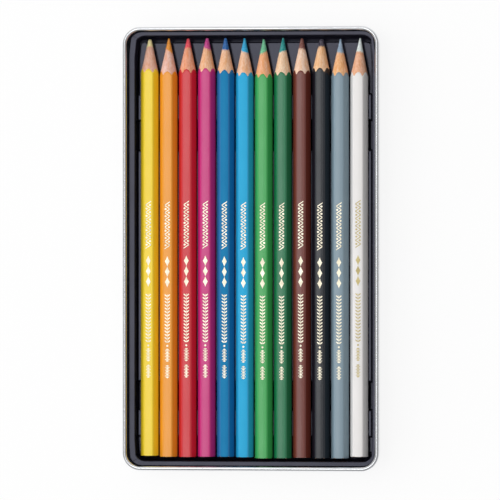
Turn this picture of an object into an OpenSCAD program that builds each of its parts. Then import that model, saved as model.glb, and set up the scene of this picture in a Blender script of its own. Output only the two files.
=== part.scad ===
// Flat tin of twelve hexagonal coloured pencils, open, seen with its lid off.
// A drawn tinplate tin with a rolled rim holds a thin formed tray, and the tray
// cradles the pencils side by side. Each pencil is two grooved wooden slats
// glued round a round lead and lacquered, then sharpened.
// X runs across the row of pencils, +Y points the way the points point, +Z is up.
// The origin is the middle of the tin's underside.

/* [Pencils] */
// Length of a pencil from its sawn end to its point
pencil_len = 175.4; // [100:0.1:200]
// Width of the hexagon across its flats, over the lacquer
flats = 6.9; // [6.4:0.05:7.4]
// Radius of the hexagon's rounded edges
edge_r = 1; // [0.5:0.1:1.5]
// Thickness of the lacquer
lacquer_t = 0.12; // [0.08:0.01:0.2]
// Diameter of the coloured lead
lead_d = 3; // [2:0.1:3.8]
// Half angle of the sharpened cone
point_angle = 12.2; // [10:0.1:16]
// Bevel that eases the edges of the sawn end
butt_bevel = 0.3; // [0.1:0.05:0.6]
// Glue line between slats, lead and lacquer
glue = 0.01; // [0.01:0.01:0.03]

/* [Row] */
// Distance between neighbouring pencils
pitch = 8.07; // [8.05:0.01:9]
// Free length between the points and the tray's wall
point_room = 1.25; // [0.6:0.05:4]
// Free length between the sawn ends and the tray's wall
butt_room = 1.9; // [1:0.1:4]

/* [Formed tray] */
// Thickness of the formed sheet
sheet_t = 0.4; // [0.3:0.05:0.5]
// Slope of the formed walls from upright, in degrees
draft = 4; // [1:0.5:6]
// Radius that forming leaves on the cradles' edges
form_r = 0.4; // [0.1:0.05:0.6]
// Height of the tray's ledge above the tin's floor
ledge_h = 8; // [7:0.25:9]
// Width of the ledge on the left
ledge_left = 2.45; // [1:0.05:5]
// Width of the ledge on the right
ledge_right = 1.1; // [1:0.05:5]
// Width of the ledge past the points
ledge_point = 1.5; // [1:0.05:5]
// Width of the ledge past the sawn ends
ledge_butt = 1.65; // [1:0.05:5]
// Corner radius of the recess inside the ledge
recess_r = 4; // [2:0.25:5]
// Width of the groove left of the cradles, at the ledge
groove_left = 0.75; // [0.6:0.05:3]
// Width of the groove right of the cradles, at the ledge
groove_right = 0.9; // [0.6:0.05:3]
// Height of the deck under the pencils above the tin's floor
deck_h = 1.9; // [1.2:0.1:2.5]
// Height of the ridges between the pencils above the deck
ridge_h = 2.4; // [1.5:0.1:2.7]
// Gap between a pencil's flank and the ridge beside it
cradle_gap = 0.25; // [0.1:0.05:0.4]
// Width of the outermost ridges past the row of pencils
shoulder = 1.4; // [0.8:0.1:2]
// Free length of the deck's edge behind the points
deck_back = 1.6; // [1:0.1:4]
// Where the front cradle starts, back from the points
front_start = 23.6; // [20:0.1:30]
// Length of the front cradle
front_len = 10.6; // [6:0.1:14]
// Length of the trough behind the front cradle
front_trough = 12.9; // [8:0.1:18]
// Length of the rear cradle
rear_len = 10.9; // [6:0.1:14]
// Length of the trough before the rear cradle
rear_trough = 12.1; // [8:0.1:18]
// Distance from the rear cradle to the sawn ends
rear_start = 8.8; // [4:0.1:14]

/* [Tin] */
// Height of the tin up to the top of its rim
tin_h = 13; // [11.5:0.5:20]
// Thickness of the tinplate
plate_t = 0.3; // [0.2:0.05:0.4]
// Diameter of the rolled rim
rim_d = 1.7; // [1.4:0.1:2.2]
// Radius of the tin's corners inside the wall
corner_r = 5.8; // [5:0.1:8]
// Outside radius between floor and wall
foot_r = 1.6; // [0.8:0.1:2.4]
// Gap between the tin's wall and the tray, all round
tray_gap = 0.3; // [0.2:0.05:0.6]

/* [Hidden] */
// Name, lacquer colour, radius of the worn tip, slip along the cradle, and what is
// added to the common length and cone angle
pencils = [
    ["yellow", [0.96, 0.82, 0.16], 0.80, 0.5, -0.8, 0],
    ["orange", [0.93, 0.55, 0.16], 0.40, 0.1, 0, 0],
    ["red", [0.80, 0.16, 0.18], 0.65, 0.05, 0, 0],
    ["magenta", [0.78, 0.14, 0.45], 0.70, 0.2, 0, 0],
    ["blue", [0.12, 0.48, 0.72], 0.60, 0.2, 0, -0.3],
    ["light_blue", [0.16, 0.66, 0.84], 0.40, 0.05, 0, -0.4],
    ["green", [0.20, 0.62, 0.30], 0.45, -0.4, 0, -0.75],
    ["dark_green", [0.07, 0.42, 0.26], 0.40, -0.3, 0.4, -0.35],
    ["brown", [0.38, 0.18, 0.15], 0.60, -0.05, 0, -0.35],
    ["black", [0.10, 0.11, 0.13], 0.90, -0.25, -0.2, -0.15],
    ["grey", [0.47, 0.56, 0.60], 0.30, -0.25, -0.2, 0.2],
    ["white", [0.92, 0.91, 0.89], 0.35, 0.4, -0.6, -0.15]
];
PIECES = ["lower_slat", "upper_slat", "lead", "lacquer"];
count = len(pencils);
wood_colour = [0.87, 0.68, 0.50];
tray_colour = [0.22, 0.22, 0.26];
tin_colour = [0.80, 0.80, 0.82];

// Angle where the rolled rim ends, measured round the roll, and its steps
roll_end = -108;
roll_steps = 32;
// Steps round a whole turn of the formed roundings
form_steps = 12;
// Steps on the tin's foot, and on one edge of a pencil
quarter_steps = 6;
edge_steps = 4;
// Cuts reach this far past what they cut
past = 1;
// The cradles' sections start at this height, below the tin
section_z = -4;

// Hexagon: side, and half the width over its rounded edges
side = flats / sqrt(3);
corner = (flats / 2 - edge_r) / cos(30) + edge_r;

// Heights above the table
floor_z = plate_t;
tray_floor_z = floor_z + sheet_t;
deck_z = floor_z + deck_h;
ridge_z = deck_z + ridge_h;
ledge_z = floor_z + ledge_h;
axis_z = deck_z + flats / 2;

// Widths, from the row of pencils outwards
row_w = (count - 1) * pitch + 2 * corner;
bank_w = row_w + 2 * shoulder;
recess_w = bank_w + groove_left + groove_right;
tray_w = recess_w + ledge_left + ledge_right;
inside_w = tray_w + 2 * tray_gap;
recess_x = (ledge_left - ledge_right) / 2;
bank_x = recess_x + (groove_left - groove_right) / 2;

// Lengths, from the pencils outwards
recess_l = pencil_len + point_room + butt_room;
tray_l = recess_l + ledge_point + ledge_butt;
inside_l = tray_l + 2 * tray_gap;
recess_y = (ledge_butt - ledge_point) / 2;
butt_y = recess_y - recess_l / 2 + butt_room;
point_y = butt_y + pencil_len;

// Edges of the cradles, from the points back to the sawn ends
front_y1 = point_y - front_start;
front_y0 = front_y1 - front_len;
main_y1 = front_y0 - front_trough;
rear_y0 = butt_y + rear_start;
rear_y1 = rear_y0 + rear_len;
main_y0 = rear_y1 + rear_trough;
deck_y1 = point_y - deck_back;
deck_y0 = butt_y + deck_back;

NODES = concat(
    ["tin_base", "insert_tray"],
    [for (p = pencils) for (piece = PIECES) str(p[0], "_pencil_", piece)]
);
node = "all";

// Points on an arc about c from angle a0 to angle a1
function arc(c, r, a0, a1, steps) = [
    for (i = [0 : steps]) let (a = a0 + (a1 - a0) * i / steps) c + r * [cos(a), sin(a)]
];

// Middle of pencil i across the tin
function pencil_x(i) = bank_x + (i - (count - 1) / 2) * pitch;

// ---- tin ----

// Section through floor, foot, wall and rolled rim, measured out from the middle
// of a corner; the rim curls outwards and stops short of the wall
module wall_section() {
    foot = [corner_r + plate_t - foot_r, foot_r];
    roll = [corner_r + rim_d / 2, tin_h - rim_d / 2];
    polygon(concat(
        [[0, 0]],
        arc(foot, foot_r, -90, 0, quarter_steps),
        arc(roll, rim_d / 2 - plate_t, 180, roll_end, roll_steps),
        arc(roll, rim_d / 2, roll_end, 180, roll_steps),
        arc(foot, foot_r - plate_t, 0, -90, quarter_steps),
        [[0, plate_t]]
    ));
}

// The section swept round the tin: four straight sides and four corners
module tin_base() color(tin_colour) {
    mid = [inside_w / 2 - corner_r, inside_l / 2 - corner_r];
    translate([-mid.x, -mid.y, 0]) cube([2 * mid.x, 2 * mid.y, plate_t]);
    for (turn = [0 : 3]) {
        across = turn % 2 == 0 ? mid.x : mid.y;
        along = turn % 2 == 0 ? mid.y : mid.x;
        rotate(90 * turn) {
            translate([across, along, 0]) rotate([90, 0, 0]) linear_extrude(2 * along) wall_section();
            translate([across, along, 0]) rotate_extrude(angle = 90, $fn = 48) wall_section();
        }
    }
}

// ---- formed tray ----

module rounded_rect(size, r) {
    mid = size / 2 - [r, r];
    square([size.x, 2 * mid.y], center = true);
    square([2 * mid.x, size.y], center = true);
    for (x = [-mid.x, mid.x], y = [-mid.y, mid.y]) translate([x, y]) circle(r, $fn = 48);
}

// Upright trapezoid from u0 to u1 at height v1, widening downwards to height v0
module trapezoid(u0, u1, v0, v1) {
    slope = (v1 - v0) * tan(draft);
    polygon([[u0 - slope, v0], [u1 + slope, v0], [u1, v1], [u0, v1]]);
}

// Along the tin: an outline in Y and Z, drawn out across the whole bank
module across_bank() {
    translate([bank_x - bank_w, 0, 0]) rotate([90, 0, 90]) linear_extrude(2 * bank_w) children();
}

// Recess inside the ledge, grown by the distance in; its walls lean by the draft
// and its corners are rounded
module recess(in) {
    size = [recess_w, recess_l] + 2 * [in, in];
    depth = ledge_z - tray_floor_z;
    shrink = depth * tan(draft);
    low = tray_floor_z - in;
    top = ledge_z + past;
    lift = (top - low) * tan(draft) - shrink;
    translate([recess_x, recess_y, 0]) intersection() {
        translate([0, 0, low]) linear_extrude(top - low) rounded_rect(size, recess_r + in);
        rotate([90, 0, 0]) linear_extrude(2 * size.y, center = true) funnel(size.x, low, top, shrink, lift);
        rotate([90, 0, 90]) linear_extrude(2 * size.x, center = true) funnel(size.y, low, top, shrink, lift);
    }
}

// Section of the recess, w wide at the ledge
module funnel(w, low, top, shrink, lift) {
    polygon([
        [-w / 2 + shrink, low], [w / 2 - shrink, low], [w / 2 + lift, top], [-w / 2 - lift, top]
    ]);
}

// Rounds the outer and inner corners of an outline, as forming does, and sets it
// in by the depth below the tray's upper skin
module formed(in) {
    offset(r = -in, $fn = form_steps)
        offset(r = -form_r, $fn = form_steps)
        offset(r = 2 * form_r, $fn = form_steps)
        offset(delta = -form_r)
        children();
}

// Half hexagon channels side by side, as a section across the tin
module cradle_section() {
    flank = side / 2 + cradle_gap / cos(30);
    depth = ridge_h + past;
    difference() {
        translate([bank_x, 0]) trapezoid(-bank_w / 2, bank_w / 2, section_z, ridge_z);
        for (i = [0 : count - 1]) translate([pencil_x(i), deck_z]) polygon([
            [-flank, 0], [flank, 0],
            [flank + depth / tan(60), depth], [-flank - depth / tan(60), depth]
        ]);
    }
}

// Cradles and deck as a section along the tin
module length_section() {
    trapezoid(rear_y0, rear_y1, section_z, ridge_z);
    trapezoid(main_y0, main_y1, section_z, ridge_z);
    trapezoid(front_y0, front_y1, section_z, ridge_z);
    trapezoid(front_y0, deck_y1, section_z, deck_z);
    trapezoid(deck_y0, rear_y1, section_z, deck_z);
}

// Corner radius of the tray, inside the tin's
function plan_r(in) = corner_r - tray_gap + in;

// Everything below one skin of the sheet
module below_skin(in, plan, low) {
    difference() {
        translate([0, 0, low]) linear_extrude(ledge_z - in - low) rounded_rect(plan, plan_r(in));
        recess(in);
    }
    intersection() {
        rotate([90, 0, 0]) linear_extrude(tray_l, center = true) formed(in) cradle_section();
        across_bank() formed(in) length_section();
        translate([-tray_w, -tray_l, low]) cube([2 * tray_w, 2 * tray_l, ledge_h]);
    }
}

// The sheet lies between its upper skin and the same shape set in by its thickness
module insert_tray() color(tray_colour) difference() {
    below_skin(0, [tray_w, tray_l], floor_z);
    below_skin(sheet_t, [tray_w, tray_l] + 2 * [sheet_t, sheet_t], floor_z - sheet_t);
}

// ---- pencils ----

// Hexagon w across its flats with rounded edges, one flat facing up
module hexagon(w, r) {
    reach = (w / 2 - r) / cos(30);
    polygon([
        for (k = [0 : 5])
            each arc(reach * [cos(60 * k), sin(60 * k)], r, 60 * k - 30, 60 * k + 30, edge_steps)
    ]);
}

// Length of pencil i
function length(i) = pencil_len + pencils[i][4];

// What the sharpener and the saw leave of pencil i: a cone with a worn round tip
// at one end and a small bevel at the other
module sharpened(i) {
    tip_r = pencils[i][2];
    angle = point_angle + pencils[i][5];
    clear_r = flats / 2 / cos(30);
    tip_z = length(i) - tip_r;
    cone_top = [tip_r * cos(angle), tip_z + tip_r * sin(angle)];
    cone_z = cone_top.y - (clear_r - cone_top.x) / tan(angle);
    butt_r = corner - butt_bevel;
    rotate_extrude($fn = 48) polygon(concat(
        [[0, 0], [butt_r, 0], [clear_r, clear_r - butt_r], [clear_r, cone_z]],
        arc([0, tip_z], tip_r, angle, 90, edge_steps)
    ));
}

// A lead is a duller, paler shade of its pencil's lacquer
function lead_colour(i) = (pencils[i][1] + [0.6, 0.6, 0.6]) / 2;

// Lays pencil i, drawn standing on its sawn end, in its cradle
module lay(i) {
    translate([pencil_x(i), butt_y + pencils[i][3], axis_z]) rotate([-90, 0, 0]) children();
}

// Half the wood, grooved for the lead; up is 1 for the upper slat and -1 for the
// lower, and local -Y is up
module slat(i, up) color(wood_colour) lay(i) intersection() {
    difference() {
        linear_extrude(length(i)) intersection() {
            hexagon(flats - 2 * lacquer_t - 2 * glue, edge_r - lacquer_t - glue);
            translate([-flats, up > 0 ? -flats : glue / 2]) square([2 * flats, flats - glue / 2]);
        }
        translate([0, 0, -past]) cylinder(h = length(i) + 2 * past, d = lead_d, $fn = 48);
    }
    sharpened(i);
}

module lead(i) color(lead_colour(i)) lay(i) intersection() {
    cylinder(h = length(i), d = lead_d - 2 * glue, $fn = 48);
    sharpened(i);
}

module lacquer(i) color(pencils[i][1]) lay(i) intersection() {
    linear_extrude(length(i)) difference() {
        hexagon(flats, edge_r);
        hexagon(flats - 2 * lacquer_t, edge_r - lacquer_t);
    }
    sharpened(i);
}

function drawn(name) = node == "all" || node == name;

if (drawn("tin_base")) tin_base();
if (drawn("insert_tray")) insert_tray();
for (i = [0 : count - 1]) {
    name = str(pencils[i][0], "_pencil_");
    if (drawn(str(name, "lower_slat"))) slat(i, -1);
    if (drawn(str(name, "upper_slat"))) slat(i, 1);
    if (drawn(str(name, "lead"))) lead(i);
    if (drawn(str(name, "lacquer"))) lacquer(i);
}
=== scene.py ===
# %% [markdown]
# # A flat tin of coloured pencils
# Twelve hexagonal pencils lie side by side in a dark formed tray, and the tray sits in a bright tinplate
# tin with a rolled rim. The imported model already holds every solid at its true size. This lesson gives the
# solids their looks: each visible surface is worked out with numpy as a function of two parameters, laid
# exactly where the solid is, and given a procedural material. Sizes are written in millimetres, because a
# pencil is easier to think about that way, and turned into Blender's metres when a mesh is made.

import math
from dataclasses import dataclass

import bpy
import numpy as np
from mathutils import Matrix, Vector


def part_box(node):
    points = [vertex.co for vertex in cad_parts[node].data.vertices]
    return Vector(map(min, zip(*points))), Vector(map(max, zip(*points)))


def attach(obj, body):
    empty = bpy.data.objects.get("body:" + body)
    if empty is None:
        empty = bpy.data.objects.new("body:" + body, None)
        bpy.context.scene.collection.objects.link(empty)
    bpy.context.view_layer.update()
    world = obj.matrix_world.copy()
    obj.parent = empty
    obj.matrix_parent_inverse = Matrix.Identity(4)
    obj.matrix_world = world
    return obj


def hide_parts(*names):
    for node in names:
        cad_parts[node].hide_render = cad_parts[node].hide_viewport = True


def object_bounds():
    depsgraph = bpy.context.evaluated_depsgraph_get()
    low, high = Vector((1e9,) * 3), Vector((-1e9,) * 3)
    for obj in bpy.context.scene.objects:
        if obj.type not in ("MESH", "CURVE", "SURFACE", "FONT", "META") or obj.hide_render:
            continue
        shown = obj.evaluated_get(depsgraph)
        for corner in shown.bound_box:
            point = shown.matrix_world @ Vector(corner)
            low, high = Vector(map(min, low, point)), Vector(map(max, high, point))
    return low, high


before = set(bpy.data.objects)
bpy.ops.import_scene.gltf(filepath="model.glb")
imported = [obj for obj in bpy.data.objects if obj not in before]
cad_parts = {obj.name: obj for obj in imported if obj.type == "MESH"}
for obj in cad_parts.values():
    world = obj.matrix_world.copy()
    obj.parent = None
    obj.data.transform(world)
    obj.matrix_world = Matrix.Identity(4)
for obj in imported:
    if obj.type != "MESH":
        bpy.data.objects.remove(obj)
cad_low, cad_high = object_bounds()
MM = 0.001
size = [round((b - a) / MM, 2) for a, b in zip(cad_low, cad_high)]
print("solids:", len(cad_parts), "box in mm:", size)

# %% [markdown]
# ## The camera
# The picture was taken from far above with a long lens. Each pencil shows more of its right flank than of
# its left one, so the camera leans about nine degrees towards +X. A camera three metres away with a lens to
# match keeps the sides of the tin parallel, as they are in the picture.

# %% Camera
PICTURE_SIDE = 500
MM_PER_PIXEL = 0.4177
LEAN = math.radians(9)
CAMERA_FAR = 3.0
SENSOR = 36
RIM_MIDDLE_Z = 12.15
# Where the middle of the rim lands in the picture, in pixels right of and above its centre
RIGHT_OF_CENTRE = 0.35
ABOVE_CENTRE = 1.35


def new_object(name, data):
    """An object that puts a mesh, a camera or a lamp into the scene."""
    thing = bpy.data.objects.new(name, data)
    bpy.context.scene.collection.objects.link(thing)
    return thing


def stand(thing, place, axes):
    """Stands an object at a place in metres, with its own X, Y and Z along three directions."""
    turned = Matrix(np.stack(axes, axis=1).tolist()).to_4x4()
    thing.matrix_world = Matrix.Translation(place.tolist()) @ turned


right_way = np.array([math.cos(LEAN), 0, -math.sin(LEAN)])
up_way = np.array([0.0, 1.0, 0.0])
back_way = np.array([math.sin(LEAN), 0, math.cos(LEAN)])
shift = MM_PER_PIXEL * (RIGHT_OF_CENTRE * right_way + ABOVE_CENTRE * up_way)
aim = np.array([0, 0, RIM_MIDDLE_Z]) - shift
camera_data = bpy.data.cameras.new("photo_camera")
camera_data.sensor_width = SENSOR
camera_data.lens = SENSOR * CAMERA_FAR / (PICTURE_SIDE * MM_PER_PIXEL * MM)
camera_data.clip_start = 0.1
camera_data.clip_end = 20
camera = new_object("photo_camera", camera_data)
stand(camera, aim * MM + CAMERA_FAR * back_way, [right_way, up_way, back_way])
bpy.context.scene.camera = camera
print("lens in mm:", round(camera_data.lens))

# %% [markdown]
# ## Helpers for meshes
# Every surface below is a grid of points: rows along one parameter, columns along the other. One helper
# joins a grid into quads, and one puts an array of points and some arrays of faces into a mesh. It also
# turns the faces outwards, by the sign of the volume that they close, and marks sharp edges. Points that
# share a ring number lie on a crease, such as the line where the sharpener's cone cuts a flank.


# %% Grid of quads
def grid_faces(rows, columns, wrap_rows=False, wrap_columns=True, first=0):
    """Quads that join each point of a grid to its neighbours in the next row and column. Where a direction
    wraps, the last row or column is joined to the first."""
    row, column = np.meshgrid(
        np.arange(rows if wrap_rows else rows - 1),
        np.arange(columns if wrap_columns else columns - 1),
        indexing="ij",
    )
    next_row = (row + 1) % rows
    next_column = (column + 1) % columns
    corners = [
        row * columns + column,
        next_row * columns + column,
        next_row * columns + next_column,
        row * columns + next_column,
    ]
    return first + np.stack(corners, axis=-1).reshape(-1, 4)


def closed_volume(points, faces):
    """Volume inside a closed mesh: the sum, over the triangles of every face, of the box product of the
    three corners, divided by six. It is negative when the faces point inwards."""
    total = 0.0
    for group in faces:
        start = points[group[:, 0]]
        for k in range(1, group.shape[1] - 1):
            total += np.sum(start * np.cross(points[group[:, k]], points[group[:, k + 1]])) / 6
    return total


# %% Mesh from arrays
SHARP = math.radians(32)


def new_mesh(name, points, faces, rings=None, marks=None):
    """A mesh of points in millimetres. faces is a list of arrays, each with one face a row. rings gives
    each point the number of the crease that it lies on, or -1. marks are named numbers, one for each point,
    which materials read as attributes."""
    if closed_volume(points, faces) < 0:
        faces = [group[:, ::-1] for group in faces]
    corners = np.concatenate([group.ravel() for group in faces])
    sides = np.concatenate([np.full(len(group), group.shape[1]) for group in faces])
    mesh = bpy.data.meshes.new(name)
    mesh.vertices.add(len(points))
    mesh.vertices.foreach_set("co", (points * MM).astype(np.float32).ravel())
    mesh.loops.add(len(corners))
    mesh.loops.foreach_set("vertex_index", corners.astype(np.int32))
    mesh.polygons.add(len(sides))
    mesh.polygons.foreach_set("loop_start", (np.cumsum(sides) - sides).astype(np.int32))
    mesh.polygons.foreach_set("use_smooth", np.ones(len(sides), bool))
    mesh.update(calc_edges=True)
    mesh.set_sharp_from_angle(angle=SHARP)
    if rings is not None:
        ends = np.empty(2 * len(mesh.edges), np.int32)
        mesh.edges.foreach_get("vertices", ends)
        sharp = np.empty(len(mesh.edges), bool)
        mesh.edges.foreach_get("use_edge_sharp", sharp)
        ring = rings[ends.reshape(-1, 2)]
        sharp |= (ring[:, 0] == ring[:, 1]) & (ring[:, 0] >= 0)
        mesh.edges.foreach_set("use_edge_sharp", sharp)
    for key, values in (marks or {}).items():
        layer = mesh.attributes.new(key, "FLOAT", "POINT")
        layer.data.foreach_set("value", np.asarray(values, np.float32))
    return mesh


def new_piece(mesh, body, slot, material, *nodes):
    """Shows a mesh as a piece of the same name, which rides on a body and stands for some of its solids."""
    piece = new_object(mesh.name, mesh)
    mesh.materials.append(material)
    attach(piece, body)
    if nodes:
        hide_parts(*nodes)


# %% [markdown]
# ## Helpers for materials
# A material is a small tree of nodes. One helper fills the inputs of a node: a socket is linked, a plain
# value is set. The others add the kinds of node that the finishes share, such as noise, sums and bumps.
# Another starts a node group with named inputs and outputs, because effects such as mottling and grain are
# used by several finishes with different numbers.


# %% Nodes
def feed(node, feeds):
    """Fills inputs of a node. feeds maps the name or place of an input to a socket or a value."""
    for key, value in feeds.items():
        if isinstance(value, bpy.types.NodeSocket):
            node.id_data.links.new(value, node.inputs[key])
        else:
            node.inputs[key].default_value = value
    return node


def add_node(tree, kind, feeds=None, **settings):
    """Adds one shader node, sets its properties and fills its inputs."""
    node = tree.nodes.new("ShaderNode" + kind)
    for key, value in settings.items():
        setattr(node, key, value)
    return feed(node, feeds or {})


# %% Node groups
def new_group(name, often, outputs):
    """An empty node group that reads a place and, under the name given, how often its pattern comes in a
    metre. All its outputs are numbers."""
    group = bpy.data.node_groups.new(name, "ShaderNodeTree")
    group.interface.new_socket("Vector", in_out="INPUT", socket_type="NodeSocketVector")
    group.interface.new_socket(often, in_out="INPUT", socket_type="NodeSocketFloat")
    for key in outputs:
        group.interface.new_socket(key, in_out="OUTPUT", socket_type="NodeSocketFloat")
    given = group.nodes.new("NodeGroupInput").outputs
    return group, given["Vector"], given[often], group.nodes.new("NodeGroupOutput")


def effect(tree, group, feeds):
    """Places a node group in a material, feeds it and gives its outputs."""
    return add_node(tree, "Group", feeds, node_tree=group).outputs


# %% Start of a material
def new_material(name):
    """A material whose surface is one Principled shader, and the place on the object that patterns read."""
    material = bpy.data.materials.new(name)
    material.use_nodes = True
    tree = material.node_tree
    shader = tree.nodes["Principled BSDF"]
    place = add_node(tree, "TexCoord").outputs["Object"]
    return material, tree, shader, place


def mark(tree, name):
    """The number that a mesh carries at each point under this name."""
    return add_node(tree, "Attribute", attribute_name=name).outputs["Fac"]


# %% Patterns and sums
def noise(tree, place, scale, detail=2.0, roughness=0.5):
    """Clouds about one half: scale is how many fit in a metre, and detail how many finer layers they
    have."""
    feeds = {"Vector": place, "Scale": scale, "Detail": detail, "Roughness": roughness}
    return add_node(tree, "TexNoise", feeds).outputs["Fac"]


def math_node(tree, operation, *values):
    """The result of one sum on sockets or numbers."""
    return add_node(tree, "Math", dict(enumerate(values)), operation=operation).outputs[0]


def range_node(tree, value, low, high, to_low=0.0, to_high=1.0):
    """Maps low to high onto to_low to to_high, and holds the ends."""
    feeds = {"Value": value, "From Min": low, "From Max": high, "To Min": to_low, "To Max": to_high}
    return add_node(tree, "MapRange", feeds).outputs["Result"]


def uneven(tree, clouds, low, high):
    """A roughness that wanders between two values with the clouds, which seldom leave 0.3 to 0.7."""
    return range_node(tree, clouds, 0.3, 0.7, low, high)


# %% Mixes and bumps
def mix_numbers(tree, factor, first, second):
    """One number where the factor is 0, the other where it is 1."""
    return add_node(tree, "Mix", {0: factor, 2: first, 3: second}, data_type="FLOAT").outputs[0]


def mix_colours(tree, factor, first, second):
    """One colour where the factor is 0, the other where it is 1."""
    return add_node(tree, "Mix", {0: factor, 6: first, 7: second}, data_type="RGBA").outputs[2]


def lay_over(tree, base, colour, mask, share):
    """Lays a colour over another where a mask is high, by a share of the mask."""
    return mix_colours(tree, math_node(tree, "MULTIPLY", mask, share), base, colour)


def bump_node(tree, height, rise, strength=1.0, normal=None):
    """Tilts the surface by a height pattern; rise is the height in millimetres that one unit stands for."""
    feeds = {"Height": height, "Distance": rise * MM, "Strength": strength}
    if normal is not None:
        feeds["Normal"] = normal
    return add_node(tree, "Bump", feeds).outputs["Normal"]


# %% Colours
def linear(red, green, blue):
    """A colour given as 0 to 255, as a screen shows it, turned into the light that Blender counts in."""
    c = np.array([red, green, blue]) / 255
    light = np.where(c <= 0.04045, c / 12.92, ((c + 0.055) / 1.055) ** 2.4)
    return (*light.tolist(), 1.0)


def multiplied(colour, factors):
    """A colour with its red, green and blue multiplied, none past full."""
    return (*np.minimum(np.array(colour[:3]) * factors, 1).tolist(), 1.0)


def paler(colour, share):
    """A colour taken a share of the way to white."""
    return tuple(c + share * (1 - c) for c in colour[:3]) + (1.0,)


# %% [markdown]
# ## Shared effects
# Four patterns are used again and again. Mottle is a soft, cloudy unevenness with rare small specks, as any
# handled surface has. Fibres are noise that is drawn out along the pencils. Cut marks are the fine rings
# that a sharpener's blade leaves. Scratches are short bright lines that cross each other. All are functions
# of the place on the object, in metres, so they keep their true size on every piece.


# %% Mottle
def make_mottle():
    """Clouds of a given size between 0 and 1, and rare specks a quarter of a millimetre across."""
    group, place, often, result = new_group("mottle", "Clouds per metre", ["Clouds", "Specks"])
    specks = range_node(group, noise(group, place, scale=2600.0, detail=1.0), 0.70, 0.76)
    feed(result, {"Clouds": noise(group, place, often, detail=4.0), "Specks": specks})
    return group


mottle_group = make_mottle()


# %% Fibres
def make_fibres():
    """Noise whose grains are many times longer along Y than across, in four sizes, from bands to pores.
    Each size has its own stretch, and two levels of the noise between which it rises from 0 to 1."""
    sizes = {
        "Bands": ((0.16, 0.012, 0.16), 0.35, 0.65),
        "Streaks": ((0.3, 0.03, 0.3), 0.4, 0.6),
        "Fibres": ((1.0, 0.045, 1.0), 0.32, 0.68),
        "Pores": ((1.4, 0.12, 1.4), 0.62, 0.70),
    }
    group, place, often, result = new_group("fibres", "Fibres per metre", sizes)
    for key, (stretch, low, high) in sizes.items():
        drawn_out = add_node(group, "Mapping", {"Vector": place, "Scale": stretch}).outputs[0]
        grains = noise(group, drawn_out, often, detail=3.0, roughness=0.6)
        feed(result, {key: range_node(group, grains, low, high)})
    return group


fibre_group = make_fibres()


# %% Cut marks
SHAKEN = 9.0


def make_cut_marks():
    """Fine rings round the cone: a sine along the pencil, whose angle noise shifts by up to nine radians
    and whose height it changes, so that no two are alike."""
    group, place, often, result = new_group("cut_marks", "Rings per metre", ["Height"])
    shake = noise(group, place, scale=700.0, detail=3.0)
    along = add_node(group, "SeparateXYZ", {0: place}).outputs["Y"]
    wave = math_node(group, "MULTIPLY", math_node(group, "MULTIPLY", along, often), 2 * math.pi)
    wave = math_node(group, "MULTIPLY_ADD", shake, SHAKEN, wave)
    feed(result, {"Height": math_node(group, "MULTIPLY", math_node(group, "SINE", wave), shake)})
    return group


cut_group = make_cut_marks()


# %% Scratches
LINE_WIDTH = 0.006


def make_scratches():
    """Thin lines where a drawn-out noise comes within a line's width of one half, in two directions, kept
    only here and there."""
    group, place, often, result = new_group("scratches", "Lines per metre", ["Lines"])
    lines = []
    for turn, stretch in ((0.35, 0.06), (1.9, 0.04)):
        feeds = {"Vector": place, "Rotation": (0.0, 0.0, turn), "Scale": (1.0, stretch, 1.0)}
        drawn_out = add_node(group, "Mapping", feeds).outputs[0]
        off = math_node(group, "SUBTRACT", noise(group, drawn_out, often), 0.5)
        lines.append(range_node(group, math_node(group, "ABSOLUTE", off), 0.0, LINE_WIDTH, 1.0, 0.0))
    kept = range_node(group, noise(group, place, scale=60.0), 0.5, 0.6)
    feed(result, {"Lines": math_node(group, "MULTIPLY", math_node(group, "MAXIMUM", *lines), kept)})
    return group


scratch_group = make_scratches()
print("node groups:", [g.name for g in bpy.data.node_groups])

# %% [markdown]
# ## Sizes of a pencil
# The common sizes are the solids' own. Where each pencil lies and how long it is are read from the packed
# model: its axis runs through the middle of its lacquer's box, and its lead runs from its sawn end to its
# point. The rest differs from pencil to pencil, because each one was sharpened and used in its own way: the
# worn tip, the slope of the cone, how far its lead lies below and beside the middle of the wood, and how
# far its point drifts to the right of the axis.

# %% Pencil sizes
FLATS = 6.9
EDGE = 1.0
CROWN = 0.06
LACQUER = 0.12
GLUE = 0.01
LEAD = 3.0
BUTT_BEVEL = 0.3
SIXTH = math.pi / 3
REACH = (FLATS / 2 - EDGE) / math.cos(SIXTH / 2)
BUTT_RADIUS = REACH + EDGE - BUTT_BEVEL


# %% Cut of each pencil
@dataclass
class Cut:
    """How one pencil is cut: the radius of its worn tip, the slope of the cone in degrees, how far the lead
    lies below and beside the middle, and how far the point drifts to the right, in millimetres."""

    tip: float
    slope: float
    below: float = 0.0
    beside: float = 0.0
    drift: float = 0.0

    def measure(self, colour, seed):
        """Reads the pencil's place and length from the boxes of its solids, and draws random angles for the
        waves of its coat, stamp, tip and grain."""
        coat_low, coat_high = (np.array(corner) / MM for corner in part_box(colour + "_pencil_lacquer"))
        lead_low, lead_high = (np.array(corner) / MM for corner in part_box(colour + "_pencil_lead"))
        middle = (coat_low + coat_high) / 2
        self.place = np.array([middle[0], lead_low[1], middle[2]])
        self.length = lead_high[1] - lead_low[1]
        self.angle = math.radians(self.slope)
        self.shake = np.random.default_rng(seed).uniform(0, 2 * math.pi, 8)


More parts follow.
